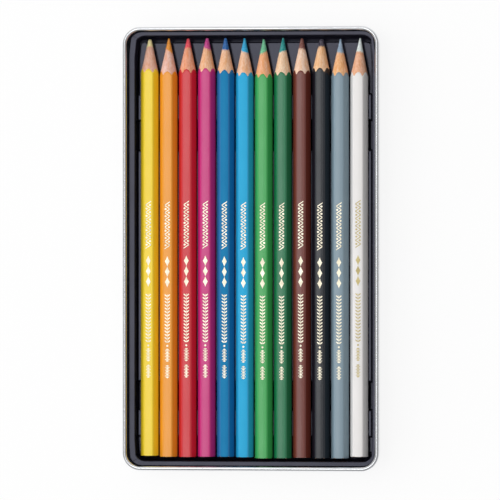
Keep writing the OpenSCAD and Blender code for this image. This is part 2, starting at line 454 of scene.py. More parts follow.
CUTS = {
    "yellow": Cut(0.80, 12.2, 0.26, -0.07, 0.15),
    "orange": Cut(0.40, 12.2, 0.10, 0.18, 0.12),
    "red": Cut(0.65, 12.2, 0.17, 0.01, 0.28),
    "magenta": Cut(0.70, 12.2, 0.0, 0.12, 0.28),
    "blue": Cut(0.60, 11.9, 0.0, 0.02),
    "light_blue": Cut(0.40, 11.8, 0.0, 0.13),
    "green": Cut(0.45, 11.45, 0.0, -0.16, 0.05),
    "dark_green": Cut(0.40, 11.85, 0.0, -0.11, 0.15),
    "brown": Cut(0.60, 11.85, 0.13, 0.06, 0.08),
    "black": Cut(0.90, 12.05, 0.15, -0.06, 0.3),
    "grey": Cut(0.30, 12.4, 0.04, 0.05, 0.2),
    "white": Cut(0.35, 12.05, 0.04, 0.04, 0.45),
}
for seed, (colour, cut) in enumerate(CUTS.items()):
    cut.measure(colour, seed)
print("lengths in mm:", {colour: round(float(cut.length), 2) for colour, cut in CUTS.items()})

# %% [markdown]
# ## The hexagon and the cone
# A pencil's section is a hexagon with rounded edges. As a distance from the axis it has two formulas: near
# an edge it is the far side of a small circle, and on a flat it is the flat's distance divided by a cosine.
# The sharpener cuts everything with one cone. Where the cone is as wide as the hexagon the lacquer ends,
# and since the hexagon is wider at its edges than at its flats, that line comes out as the well known
# scallops. The flats aren't quite flat either: sanding and lacquer leave them a little crowned, so a lamp
# shows on them as a stripe.


# %% Rounded hexagon
def from_edge(turn):
    """How far each angle lies from the hexagon's nearest edge."""
    return np.abs((turn + SIXTH / 2) % SIXTH - SIXTH / 2)


def hexagon_radius(turn, flats, edge):
    """Distance from the axis to a rounded hexagon, at each angle. Within the rounded edge it is the
    distance to the centre of the edge's circle along this angle, plus half the chord of the circle. On a
    flat it is half the width across the flats, divided by the cosine of the angle from the flat's middle.
    The crown then takes off nothing in the middle of a flat and its whole height at an edge, by a cosine of
    six times the angle."""
    reach = (flats / 2 - edge) / math.cos(SIXTH / 2)
    off = from_edge(turn)
    edge_end = math.atan2(edge / 2, reach + edge * math.cos(SIXTH / 2))
    round_part = reach * np.cos(off) + np.sqrt(np.maximum(edge**2 - (reach * np.sin(off)) ** 2, 0))
    flat_part = flats / 2 / np.cos(SIXTH / 2 - off)
    crown = CROWN * (1 + np.cos(6 * turn)) / 2
    return np.where(off < edge_end, round_part, flat_part) - crown


def pencil_turns():
    """Angles of the columns round a pencil: eight steps over each rounded edge, even in the way the surface
    faces, and ten over each flat."""
    faces = np.linspace(-SIXTH / 2, SIXTH / 2, 9)
    on_edge = np.arctan2(EDGE * np.sin(faces), REACH + EDGE * np.cos(faces))
    on_flat = np.linspace(on_edge[-1], SIXTH - on_edge[-1], 11)[1:-1]
    return (np.concatenate([on_edge, on_flat]) + SIXTH * np.arange(6)[:, None]).ravel()


TURNS = pencil_turns()
print("columns round a pencil:", len(TURNS))


# %% Sharpened cone
GRAIN_WAVE = 0.015
CONE_LENGTH = 17.0


def cone_place(radius, cut):
    """Distance from the sawn end at which the cone has this radius. The cone touches the worn tip, a ball
    of radius tip, where both have the same slope, and widens from there by the tangent of the slope."""
    touch = cut.length - cut.tip + cut.tip * math.sin(cut.angle)
    return touch - (radius - cut.tip * math.cos(cut.angle)) / math.tan(cut.angle)


def off_centre(turn, radius, cut):
    """Distance from the pencil's axis to a circle whose middle lies below and beside it: the far root of
    the circle's equation at this angle. Two small waves stand for the grain that leads the blade astray."""
    toward = cut.beside * np.cos(turn) - cut.below * np.sin(turn)
    aside = cut.beside * np.sin(turn) + cut.below * np.cos(turn)
    waves = GRAIN_WAVE * (np.sin(3 * turn + cut.shake[6]) + np.sin(7 * turn + cut.shake[7]))
    return toward + np.sqrt(radius**2 - aside**2) + waves


def round_axis(turn, radius, along, cut):
    """Points round the pencil's axis: out by the radius at each angle, and along the axis. The sharpener
    was held a little askew, so over the cone's length everything drifts aside, evenly up to the whole drift
    at the point."""
    turn, radius, along = np.broadcast_arrays(turn, radius, along)
    aside = cut.drift * np.maximum(1 - (cut.length - along) / CONE_LENGTH, 0)
    return np.stack([aside + radius * np.cos(turn), along, radius * np.sin(turn)], axis=-1)


# %% Sawn end
def sawn_edge(outer, inner):
    """Radius at which the bevel meets the flat end, kept from a fifth to four fifths of the way through a
    wall."""
    share = np.clip((BUTT_RADIUS - inner) / (outer - inner), 0.2, 0.8)
    return inner + share * (outer - inner)


def bevel_place(radius):
    """Distance from the sawn end at which the bevel has this radius: nothing on the flat end, then one up
    for one out."""
    return np.maximum(radius - BUTT_RADIUS, 0)


# %% [markdown]
# ## Lacquer coats
# The coat is a thin hexagonal tube. Its profile runs up the outside from the sawn end, turns in at the
# scallops along the cone, and comes back down the inside. A real coat breaks a little as the blade cuts it,
# so a few small waves shift the front edge by a tenth of a millimetre.


# %% Lacquer coat
CHIP = 0.12
CHIP_WAVES = (5, 8, 13, 21)
PALE_EDGE = math.radians(8)


def lacquer_mesh(name, cut):
    """Tube between two rounded hexagons. Rows are the places of the profile: inner and outer rear edge,
    outer front edge where the cone is as wide as the outer hexagon, and inner front edge. Columns go
    round."""
    outer = hexagon_radius(TURNS, FLATS, EDGE)
    inner = hexagon_radius(TURNS, FLATS - 2 * LACQUER, EDGE - LACQUER)
    radius = np.stack([inner, sawn_edge(outer, inner), outer, outer, inner])
    chipped = CHIP * sum(np.sin(k * TURNS + p) / 3 for k, p in zip(CHIP_WAVES, cut.shake))
    along = np.concatenate([bevel_place(radius[:3]), cone_place(radius[3:], cut) + chipped])
    points = cut.place + round_axis(TURNS, radius, along, cut).reshape(-1, 3)
    rings = np.repeat(np.arange(len(radius)), len(TURNS))
    edge = np.clip(1 - from_edge(TURNS) / PALE_EDGE, 0, 1)
    marks = {"edge": np.tile(edge, len(radius))}
    return new_mesh(name, points, [grid_faces(*radius.shape, wrap_rows=True)], rings, marks)


# %% Lacquer finish
def lacquer_material(colour, shade, sheen):
    """Glossy lacquer: the colour with faint clouds, a touch paler on the edges where it runs thin, specks
    of dust in it, and an orange-peel bump. The sheen's own tint keeps the blues from going grey under a
    lamp."""
    material, tree, shader, place = new_material(colour + "_lacquer")
    mottle = effect(tree, mottle_group, {"Vector": place, "Clouds per metre": 90.0})
    plain = linear(*shade)
    thin = paler(plain, 0.06)
    base = mix_colours(tree, mottle["Clouds"], plain, multiplied(plain, 0.94))
    base = lay_over(tree, base, thin, mark(tree, "edge"), share=0.5)
    base = lay_over(tree, base, thin, mottle["Specks"], share=0.2)
    rough = uneven(tree, mottle["Clouds"], low=0.17, high=0.23)
    peel = bump_node(tree, noise(tree, place, scale=900.0), rise=0.008)
    feed(shader, {"Base Color": base, "Roughness": rough, "Normal": peel})
    feed(shader, {"IOR": 1.5, "Specular Tint": (*sheen, 1.0)})
    return material


# %% [markdown]
# ## Slats
# Two grooved slats of cedar are glued round the lead, so each pencil has an upper and a lower half, and the
# glue line shows on the sides of the cone. The profile of a half runs out over the sawn face, up the flank,
# down the cone to the lead, and back through the groove. Each point of the cone is marked with its distance
# from the lead, because the blade drags colour from the lead onto the wood beside it.

# %% Slats
WOOD_FLATS = FLATS - 2 * LACQUER - 2 * GLUE
WOOD_EDGE = EDGE - LACQUER - GLUE
GROOVE = LEAD / 2
CONE_ROWS = 10
FAR_FROM_LEAD = 9.0


def slat_mesh(name, cut, side):
    """Half of a hexagonal rod with a round groove, side 1 for the upper half and -1 for the lower. Rows are
    the closed profile; columns go half way round, and a flat face closes each end."""
    turn = TURNS[(TURNS > 1e-6) & (TURNS < math.pi - 1e-6)]
    turn = np.concatenate([[0.0], turn, [math.pi]])
    outer = hexagon_radius(turn, WOOD_FLATS, WOOD_EDGE)
    groove = off_centre(side * turn, GROOVE, cut)
    cone = outer + np.linspace(0, 1, CONE_ROWS)[:, None] * (groove - outer)
    radius = np.concatenate([[groove, sawn_edge(outer, groove), outer], cone])
    along = np.concatenate([bevel_place(radius[:3]), cone_place(cone, cut)])
    points = round_axis(turn, radius, along, cut)
    points[..., 2] = side * np.maximum(points[..., 2], GLUE / 2)
    points = cut.place + points.reshape(-1, 3)
    rows, columns = radius.shape
    faces = grid_faces(rows, columns, wrap_rows=True, wrap_columns=False)
    end = np.arange(rows) * columns
    caps = np.stack([end, end[::-1] + columns - 1])
    # Creases: the groove's rear edge, the bevel's outer edge, and both ends of the cone
    rings = np.repeat(np.r_[0, -1, 1, 2, np.full(CONE_ROWS - 2, -1), 3], columns)
    from_lead = np.full(radius.shape, FAR_FROM_LEAD)
    from_lead[3:] = (cone - groove) / math.sin(cut.angle)
    return new_mesh(name, points, [faces, caps], rings, {"from_lead": from_lead.ravel()})


# %% Cedar
def cedar_material(colour, tone, shade):
    """Bare cedar: this pencil's tone between paler and deeper bands and streaks, fine fibres and a few
    pores along the pencil, faint rings from the blade, and some of the lead's colour smeared beside it."""
    material, tree, shader, place = new_material(colour + "_cedar")
    fibres = effect(tree, fibre_group, {"Vector": place, "Fibres per metre": 4200.0})
    cut = effect(tree, cut_group, {"Vector": place, "Rings per metre": 4500.0})
    plain = linear(*tone)
    light_streak = multiplied(plain, [1.06, 1.20, 1.40])
    deep_streak = multiplied(plain, [0.94, 0.78, 0.60])
    base = mix_colours(tree, fibres["Streaks"], light_streak, deep_streak)
    deep = multiplied(plain, [0.80, 0.62, 0.48])
    pore = multiplied(plain, [0.55, 0.36, 0.25])
    base = lay_over(tree, base, paler(plain, 0.35), fibres["Bands"], share=0.9)
    base = lay_over(tree, base, deep, fibres["Fibres"], share=0.85)
    base = lay_over(tree, base, pore, fibres["Pores"], share=0.7)
    ragged = noise(tree, place, scale=1800.0, detail=3.0)
    reach = math_node(tree, "MULTIPLY_ADD", ragged, 2.2, -0.7)
    smear = math_node(tree, "SUBTRACT", reach, mark(tree, "from_lead"))
    smear = range_node(tree, smear, -0.3, 0.4, to_high=0.6)
    base = mix_colours(tree, smear, base, linear(*shade))
    rough = range_node(tree, fibres["Fibres"], 0.0, 1.0, to_low=0.62, to_high=0.78)
    grain = bump_node(tree, fibres["Fibres"], rise=0.03, strength=0.6)
    blade = bump_node(tree, cut["Height"], rise=0.02, strength=0.5, normal=grain)
    feed(shader, {"Base Color": base, "Roughness": rough, "Normal": blade, "Specular IOR Level": 0.3})
    return material


# %% [markdown]
# ## Leads
# A lead is a body of revolution: a rod, the cone, and a worn ball at the tip. Drawing has worn each tip in
# its own way, so the ball's section is pressed a little oval. The two poles are single points joined by
# triangles.

# %% Lead
LEAD_RADIUS = LEAD / 2 - GLUE
LEAD_COLUMNS = 64
CONE_STEPS = 8
DOME_ROWS = 9
FACE_RING = 0.4
WEAR = 0.07


def lead_mesh(name, cut):
    """Revolved profile. Its rows are a ring on the sawn face, the rod's rear edge, the cone down to the
    ball, and the ball up to the pole at the tip, where the radius is the cosine and the height the sine of
    the angle on the ball."""
    turn = np.linspace(0, 2 * math.pi, LEAD_COLUMNS, endpoint=False)
    rod = off_centre(turn, LEAD_RADIUS, cut)
    share = np.linspace(0, 1, CONE_STEPS, endpoint=False)[:, None]
    cone = rod + share * (cut.tip * math.cos(cut.angle) - rod)
    angle = np.linspace(cut.angle, math.pi / 2, DOME_ROWS, endpoint=False)[:, None] + 0 * turn
    radius = np.concatenate([[FACE_RING * rod, rod], cone, cut.tip * np.cos(angle)])
    ball = cut.length - cut.tip + cut.tip * np.sin(angle)
    along = np.concatenate([np.zeros((2, LEAD_COLUMNS)), cone_place(cone, cut), ball])
    worn = WEAR * np.clip((along - cut.length) / cut.tip + 1, 0, 1)
    radius = radius * (1 - worn * (0.5 + 0.5 * np.cos(2 * (turn + cut.shake[5]))))
    body = round_axis(turn, radius, along, cut).reshape(-1, 3)
    points = cut.place + np.concatenate([body, [[0, 0, 0], [cut.drift, cut.length, 0]]])
    column = np.arange(LEAD_COLUMNS)
    after = (column + 1) % LEAD_COLUMNS
    last = len(body) - LEAD_COLUMNS
    foot = np.full_like(column, len(body))
    rear = np.stack([foot, column, after], axis=1)
    front = np.stack([foot + 1, last + after, last + column], axis=1)
    rings = np.full(len(points), -1)
    rings[LEAD_COLUMNS : 2 * LEAD_COLUMNS] = 0
    rings[2 * LEAD_COLUMNS : 3 * LEAD_COLUMNS] = 1
    return new_mesh(name, points, [grid_faces(*radius.shape), np.concatenate([rear, front])], rings)


# %% Lead finish
def lead_material(colour, shade):
    """Waxy pigment: the colour with small light and dark grains, the blade's rings, and a soft sheen that
    takes most of its tint from the pigment."""
    material, tree, shader, place = new_material(colour + "_lead")
    mottle = effect(tree, mottle_group, {"Vector": place, "Clouds per metre": 1500.0})
    cut = effect(tree, cut_group, {"Vector": place, "Rings per metre": 3600.0})
    plain = linear(*shade)
    grains = range_node(tree, mottle["Clouds"], 0.35, 0.65)
    base = mix_colours(tree, grains, multiplied(plain, 0.8), paler(plain, 0.10))
    rough = uneven(tree, mottle["Clouds"], low=0.34, high=0.5)
    blade = bump_node(tree, cut["Height"], rise=0.02, strength=0.5)
    feed(shader, {"Base Color": base, "Roughness": rough, "Normal": blade})
    feed(shader, {"Specular IOR Level": 0.4, "Specular Tint": paler(plain, 0.2)})
    return material


# %% [markdown]
# ## Foil marks
# The top facet of each pencil is stamped with pale gold foil. The real marks are mostly lettering, which
# this part leaves out. In its place stands plain ornament of the same size and weight: a beaded zigzag,
# three lozenges, a row of paired leaves on a stem, and two short rows of small lozenges between bars. Each
# mark is an outline in the plane of the facet, raised by a hundredth of a millimetre, and all outlines of
# one kind are made at once as an array.


# %% Outlines of the marks
def ovals(centres, across, along, tilt=0.0, corners=16):
    """Ellipses about the centres, each turned by the tilt. The points are the cosine and the sine of equal
    steps round, times half the width and half the length."""
    step = np.linspace(0, 2 * math.pi, corners, endpoint=False)
    x = across / 2 * np.cos(step)
    y = along / 2 * np.sin(step)
    turned_x = x * math.cos(tilt) - y * math.sin(tilt)
    turned_y = x * math.sin(tilt) + y * math.cos(tilt)
    return centres[:, None, :] + np.stack([turned_x, turned_y], axis=1)


def bars(centres, across, along):
    """Rectangles about the centres."""
    shape = np.array([[-1, -1], [1, -1], [1, 1], [-1, 1]])
    return centres[:, None, :] + shape * [across / 2, along / 2]


def strokes(centres, across, rise, thick):
    """Slanted strokes with upright ends: each climbs by the rise as it crosses, so that strokes which climb
    and fall by turns join to a zigzag."""
    lower = [[-across, -rise - thick], [across, rise - thick]]
    upper = [[across, rise + thick], [-across, thick - rise]]
    return centres[:, None, :] + np.array(lower + upper) / 2


def lozenges(centres, across, along):
    """Diamonds about the centres, with slightly hollow sides."""
    right = [[0, -1], [0.42, -0.5], [1, 0], [0.42, 0.5]]
    left = [[0, 1], [-0.42, 0.5], [-1, 0], [-0.42, -0.5]]
    return centres[:, None, :] + np.array(right + left) * [across / 2, along / 2]


def row_of(places, across=0.0):
    """Centres in a row along the pencil, all the same distance across it."""
    places = np.asarray(places, float)
    return np.stack([np.full_like(places, across), places], axis=1)


# %% The ornament
ZIGZAG = {"across": 2.3, "thick": 0.46}
BEAD = {"across": 0.9, "along": 0.85}
BEAD_ASIDE = 0.7
LEAF = {"across": 1.35, "along": 0.52, "corners": 12}
LEAF_TILT = 0.7
BESIDE_STEM = 0.62


def foil_outlines():
    """All marks of one pencil, as arrays of outlines. Across is 0 on the middle of the facet, and along is
    the distance from the sawn end."""
    turns = np.linspace(87.9, 106.1, 13)
    pitch = turns[1] - turns[0]
    stones = [73.2, 77.55, 81.9]
    leaves = np.linspace(48.3, 67.6, 15)
    stem = 57.95
    dot = 46.5
    row_middles = np.array([[35.7], [42.6]])
    small = row_middles + np.linspace(-2.4, 2.4, 5)
    between = (small[:, :-1] + small[:, 1:]) / 2
    return [
        strokes(row_of(turns[::2]), rise=pitch, **ZIGZAG),
        strokes(row_of(turns[1::2]), rise=-pitch, **ZIGZAG),
        ovals(row_of(turns[:-1:2] + pitch / 2, -BEAD_ASIDE), **BEAD),
        ovals(row_of(turns[1:-1:2] + pitch / 2, BEAD_ASIDE), **BEAD),
        lozenges(row_of(stones), across=2.0, along=4.3),
        ovals(row_of(leaves, BESIDE_STEM), tilt=LEAF_TILT, **LEAF),
        ovals(row_of(leaves, -BESIDE_STEM), tilt=math.pi - LEAF_TILT, **LEAF),
        bars(row_of([stem]), across=0.16, along=20.2),
        ovals(row_of([dot]), across=0.85, along=0.85),
        lozenges(row_of(small.ravel()), across=1.5, along=0.8),
        bars(row_of(between.ravel()), across=1.9, along=0.27),
    ]


# %% Foil on a facet
FOIL_RISE = 0.012
FOIL_GAP = 0.002
STAMP_SHIFT = 0.3


def foil_mesh(name, cut):
    """Flat prisms on the top facet: each outline once at the facet and once a foil's thickness above it,
    joined by side faces and closed by a face on each end. The stamp lands up to 0.3 mm nearer or farther
    each time."""
    points, faces, count = [], [], 0
    floor = cut.place[2] + FLATS / 2 + FOIL_GAP
    stamp = cut.place[:2] + [0, STAMP_SHIFT * math.sin(cut.shake[0])]
    for outline in foil_outlines():
        marks, corners, _ = outline.shape
        low = np.insert(stamp + outline, 2, floor, axis=-1)
        points.append(np.stack([low, low + [0, 0, FOIL_RISE]], axis=1).reshape(-1, 3))
        first = count + np.arange(marks)[:, None] * 2 * corners
        corner = np.arange(corners)
        after = (corner + 1) % corners
        walls = [first + corner, first + after, first + corners + after, first + corners + corner]
        faces.append(np.stack(walls, axis=-1).reshape(-1, 4))
        faces.append(first + corner[::-1])
        faces.append(first + corners + corner)
        count += marks * 2 * corners
    return new_mesh(name, np.concatenate(points), faces)


# %% Gold foil
def foil_material(name, light, deep, rubbed):
    """Gold leaf: metal whose colour shifts between a light and a deep gold in small clouds, rubbed duller
    in lines where fingers have turned the pencil."""
    material, tree, shader, place = new_material(name)
    mottle = effect(tree, mottle_group, {"Vector": place, "Clouds per metre": 500.0})
    lines = effect(tree, scratch_group, {"Vector": place, "Lines per metre": 900.0})["Lines"]
    base = mix_colours(tree, mottle["Clouds"], linear(*light), linear(*deep))
    base = lay_over(tree, base, linear(*rubbed), lines, share=0.4)
    rough = uneven(tree, mottle["Clouds"], low=0.3, high=0.46)
    feed(shader, {"Base Color": base, "Roughness": rough, "Metallic": 0.6})
    return material


pale_foil = foil_material("pale_gold_foil", (255, 250, 232), (248, 236, 204), (222, 200, 150))
deep_foil = foil_material("deep_gold_foil", (206, 192, 140), (184, 166, 112), (150, 132, 86))

# %% [markdown]
# ## Twelve pencils
# Every pencil is made by the same functions with its own cut and colours. Colours are written as a screen
# shows them, from 0 to 255. The wood differs too, from pinkish to orange, as it does between boards of
# cedar. The foil is pale gold on the colours, and a deeper gold on the white pencil, where pale foil would
# not show.

# %% Colours of each pencil
LOOKS = {
    "yellow": {"lacquer": (250, 217, 42), "lead": (255, 240, 172), "wood": (243, 191, 166)},
    "orange": {"lacquer": (240, 155, 38), "lead": (250, 160, 44), "wood": (246, 197, 180)},
    "red": {"lacquer": (207, 36, 48), "lead": (250, 74, 92), "wood": (245, 167, 124)},
    "magenta": {"lacquer": (200, 40, 122), "lead": (208, 54, 144), "wood": (246, 190, 142)},
    "blue": {"lacquer": (24, 108, 166), "lead": (6, 100, 176), "wood": (246, 196, 152)},
    "light_blue": {"lacquer": (42, 163, 212), "lead": (24, 176, 226), "wood": (246, 200, 163)},
    "green": {"lacquer": (60, 166, 84), "lead": (112, 200, 152), "wood": (247, 178, 120)},
    "dark_green": {"lacquer": (24, 116, 74), "lead": (0, 150, 146), "wood": (246, 212, 174)},
    "brown": {"lacquer": (110, 48, 38), "lead": (126, 66, 53), "wood": (246, 214, 188)},
    "black": {"lacquer": (14, 22, 32), "lead": (64, 57, 74), "wood": (246, 198, 144)},
    "grey": {"lacquer": (126, 147, 159), "lead": (152, 176, 198), "wood": (247, 190, 132)},
    "white": {"lacquer": (231, 228, 226), "lead": (234, 244, 240), "wood": (240, 182, 142)},
}
PLAIN_SHEEN = (1.0, 1.0, 1.0)
SHEENS = {"blue": (0.15, 0.85, 1.0), "light_blue": (0.25, 0.8, 1.0)}

# %% Make the pencils
for colour, look in LOOKS.items():
    pencil = colour + "_pencil"
    cut = CUTS[colour]
    coat = lacquer_mesh(pencil + "_lacquer_coat", cut)
    coat_finish = lacquer_material(colour, look["lacquer"], SHEENS.get(colour, PLAIN_SHEEN))
    new_piece(coat, pencil, colour + "_lacquer", coat_finish, pencil + "_lacquer")
    cedar = cedar_material(colour, look["wood"], look["lead"])
    for half, side in (("upper", 1), ("lower", -1)):
        wood = slat_mesh(f"{pencil}_{half}_wood", cut, side)
        new_piece(wood, pencil, "cedar", cedar, f"{pencil}_{half}_slat")
    core = lead_mesh(pencil + "_lead_core", cut)
    new_piece(core, pencil, colour + "_lead", lead_material(colour, look["lead"]), pencil + "_lead")
    marks = foil_mesh(pencil + "_foil_marks", cut)
    new_piece(marks, pencil, "gold_foil", deep_foil if colour == "white" else pale_foil)
print("faces of one coat, slat, lead and foil:", [len(m.polygons) for m in (coat, wood, core, marks)])

# %% [markdown]
# ## The tin
# The tin is one drawn sheet. Its section, from the floor over the foot, up the wall and round the rolled
# rim, stays the same all the way round, so the surface is that section carried along a rounded rectangle.

# %% Tin sizes
PLATE = 0.3
TIN_HEIGHT = 13.0
TIN_CORNER = 5.8
FOOT = 1.6
RIM = 1.7
ROLL_END = math.radians(-108)
tin_half = np.array(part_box("tin_base")[1])[:2] / MM
corner_middle = tin_half - RIM - TIN_CORNER
print("half the tin in mm:", tin_half.round(2))


# %% Tin section
def direction(angle):
    """Unit steps at the given angles: their cosine and sine."""
    return np.stack([np.cos(angle), np.sin(angle)], axis=-1)


def arc_points(middle, radius, start, end, steps):
    """Points on an arc about a middle: one radius off it, at even steps between two angles."""
    return np.asarray(middle) + radius * direction(np.linspace(start, end, steps + 1))


def tin_section():
    """Out from the middle of a corner, and up: underside, outer foot, outer wall, inside of the roll, the
    roll's own end, outside of the roll, inner wall, inner foot and the floor's upper side."""
    foot = [TIN_CORNER + PLATE - FOOT, FOOT]
    roll = [TIN_CORNER + RIM / 2, TIN_HEIGHT - RIM / 2]
    quarter = math.pi / 2
    return np.concatenate(
        [
            arc_points(foot, FOOT, -quarter, 0, steps=10),
            arc_points(roll, RIM / 2 - PLATE, 2 * quarter, ROLL_END, steps=40),
            arc_points(roll, RIM / 2, ROLL_END, 2 * quarter, steps=48),
            arc_points(foot, FOOT - PLATE, 0, -quarter, steps=8),
        ]
    )


# %% Carried round the tin
def corner_stations(middle, steps):
    """Where the section stands as it goes round: the middle of the corner that it turns about, and the way
    that it faces. It turns a quarter at each corner and faces the same way along each side."""
    turn = np.linspace(0, math.pi / 2, steps + 1) + math.pi / 2 * np.arange(4)[:, None]
    sign = np.array([[1, 1], [-1, 1], [-1, -1], [1, -1]])
    return np.repeat(sign * middle, steps + 1, axis=0), direction(turn.ravel())


def tin_mesh(name):
    """Section times stations. The first and the last row of the grid are the flat floor's edges, and a face
    fills each of them."""
    section = tin_section()
    centre, way = corner_stations(corner_middle, steps=24)
    plan = centre + section[:, 0, None, None] * way
    rows, columns = plan.shape[:2]
    height = np.broadcast_to(section[:, 1, None, None], (rows, columns, 1))
    points = np.concatenate([plan, height], axis=2).reshape(-1, 3)
    column = np.arange(columns)
    caps = np.stack([column, (rows - 1) * columns + column[::-1]])
    step = np.linalg.norm(np.diff(section, axis=0, prepend=section[:1]), axis=1)
    marks = {"across": np.repeat(np.cumsum(step), columns)}
    return new_mesh(name, points, [grid_faces(rows, columns), caps], marks=marks)


# %% Tinplate
def tinplate_material():
    """Bright tinplate: pale grey metal with an uneven gloss, faint lines that the forming rolls draw along
    the rim, and a few fine scratches."""
    material, tree, shader, place = new_material("tinplate")
    mottle = effect(tree, mottle_group, {"Vector": place, "Clouds per metre": 45.0})
    lines = effect(tree, scratch_group, {"Vector": place, "Lines per metre": 350.0})["Lines"]
    rolled = {"W": mark(tree, "across"), "Scale": 9.0, "Detail": 3.0}
    drawn = add_node(tree, "TexNoise", rolled, noise_dimensions="1D").outputs["Fac"]
    base = mix_colours(tree, mottle["Clouds"], linear(238, 240, 242), linear(228, 230, 233))
    base = lay_over(tree, base, linear(246, 247, 248), lines, share=0.3)
    rough = uneven(tree, mottle["Clouds"], low=0.12, high=0.2)
    rough = math_node(tree, "MULTIPLY_ADD", lines, 0.15, rough)
    lined = bump_node(tree, drawn, rise=0.02, strength=0.5)
    feed(shader, {"Base Color": base, "Metallic": 1.0, "Roughness": rough, "Normal": lined})
    return material


shell = tin_mesh("tin_drawn_shell")
new_piece(shell, "tin", "tinplate", tinplate_material(), "tin_base")
print("faces of the tin:", len(shell.polygons))


# %% [markdown]
# ## The tray
# The tray is one thin sheet, drawn warm over a mould, so every edge of it is round. It has two kinds of
# shape. The bank of cradles is a height over a grid: across the tin a row of half-hexagon channels, along
# the tin the cradles, the troughs between them and the deck, and the surface is the lower of the two at
# each point. The deck under the points is a little narrower than the bank, so beside it the surface falls
# to the side floor. Round the bank, rings climb the wall and run out over the ledge. The foot of the wall
# is a hollow curve, long at the ends of the tin and short at its sides.

# %% Sizes of the tray
SHEET = 0.4
PITCH = 8.07
ROUND = 0.45
HOLLOW = 0.4
TIGHT = 0.04
PAST_ROW = 1.4
PLAY = 0.25
RIDGE_UP = 2.4
# Half of a channel: at its foot half a flat and the play beside it, and from there a slope of 60 degrees
CHANNEL_FOOT = FLATS / math.sqrt(3) / 2 + PLAY / math.cos(SIXTH / 2)
CHANNEL_TOP = CHANNEL_FOOT + RIDGE_UP / math.tan(SIXTH)
tray_low, tray_high = (np.array(corner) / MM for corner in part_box("insert_tray"))
FLOOR_Z = tray_low[2] + SHEET
LEDGE_Z = tray_high[2]
DECK_Z = CUTS["yellow"].place[2] - FLATS / 2
RIDGE_Z = DECK_Z + RIDGE_UP
SIDE_FLOOR_Z = 1.3
POINT_Y = 88.1
BUTT_Y = -87.3
first_x, last_x = CUTS["yellow"].place[0], CUTS["white"].place[0]
row_middle = (first_x + last_x) / 2
bank_half = (last_x - first_x) / 2 + REACH + EDGE + PAST_ROW
# The deck under the points starts at the front cradle and is narrower than the bank: it ends just past the
# foot of the first channel on the left, and a little short of the bank on the right
FRONT_DECK = 23.6
PAST_FIRST = 0.13
SHORT_OF_BANK = 0.48
front_y = POINT_Y - FRONT_DECK
deck_low = first_x - CHANNEL_FOOT - PAST_FIRST
deck_high = row_middle + bank_half - SHORT_OF_BANK
# Width of the ledge on the left and near the sawn ends, and on the right and past the points
LEDGE_LOW = [2.45, 1.65]
LEDGE_HIGH = [1.1, 1.5]
recess_low = tray_low[:2] + LEDGE_LOW
recess_high = tray_high[:2] - LEDGE_HIGH
print("tray in mm:", tray_low.round(2), tray_high.round(2))
print("recess in mm:", recess_low.round(2), recess_high.round(2))


# %% Rounded path
NEAR_ARC = 0.08
ARC_STEPS = 3
LONGEST_LEG = 9.0


def rounded_path(corners, radii):
    """A path through corners in a plane, each rounded by its own radius, and the way that faces left of it
    at each point. The arc at a corner starts a tangent's length before it (radius times the tangent of half
    the turn), and its points lie one radius off the arc's middle, at even steps of the direction. One more
    point stands just before and just after each arc, so that the smooth shading ends there and flats stay
    flat."""
    leg = np.diff(corners, axis=0)
    way = np.arctan2(leg[:, 1], leg[:, 0])
    turn = (np.diff(way) + math.pi) % (2 * math.pi) - math.pi
    start = corners[1:-1] - (radii * np.tan(np.abs(turn) / 2))[:, None] * direction(way[:-1])
    side = (radii * np.sign(turn))[:, None]
    middle = start + side * direction(way[:-1] + math.pi / 2)
    heading = way[:-1, None] + turn[:, None] * np.linspace(0, 1, ARC_STEPS + 1)
    left = direction(heading + math.pi / 2)
    arcs = middle[:, None, :] - side[:, None, :] * left
    before = arcs[:, :1] - NEAR_ARC * direction(heading[:, :1])
    after = arcs[:, -1:] + NEAR_ARC * direction(heading[:, -1:])
    arcs = np.concatenate([before, arcs, after], axis=1)
    left = np.concatenate([left[:, :1], left, left[:, -1:]], axis=1)
    path = np.concatenate([corners[:1], arcs.reshape(-1, 2), corners[-1:]])
    ends = direction(way[[0, -1]] + math.pi / 2)
    return refined(path, np.concatenate([ends[:1], left.reshape(-1, 2), ends[1:]]))


def refined(path, left):
    """Adds points to the long legs of a path, so that none is longer than the limit."""
    leg = np.diff(path, axis=0)
    parts = np.maximum(np.ceil(np.abs(leg[:, 0]) / LONGEST_LEG).astype(int), 1)
    index = np.repeat(np.arange(len(leg)), parts)
    share = (np.arange(parts.sum()) - np.repeat(np.cumsum(parts) - parts, parts)) / parts[index]
    more = path[index] + share[:, None] * leg[index]
    facing = left[index] + share[:, None] * np.diff(left, axis=0)[index]
    facing /= np.linalg.norm(facing, axis=1, keepdims=True)
    return np.concatenate([more, path[-1:]]), np.concatenate([facing, left[-1:]])


# %% Foot of the wall
WALL_LEAN = 0.35
EDGE_ROUND = 0.3
FILLET = np.array([0.15, 2.0])
INSIDE_CORNER = 3.0
LIP_IN = 0.2
# Lower and upper corner of two rectangles: the top of the wall, and the bank's grid within the foot's curve
lip = (recess_low + LIP_IN, recess_high - LIP_IN)
grid = (lip[0] + WALL_LEAN + FILLET, lip[1] - WALL_LEAN - FILLET)


# %% Sections of the bank
BANK_LEAN = 0.08
END_ROUND = 0.15
CRADLE_LEAN = math.tan(math.radians(4))


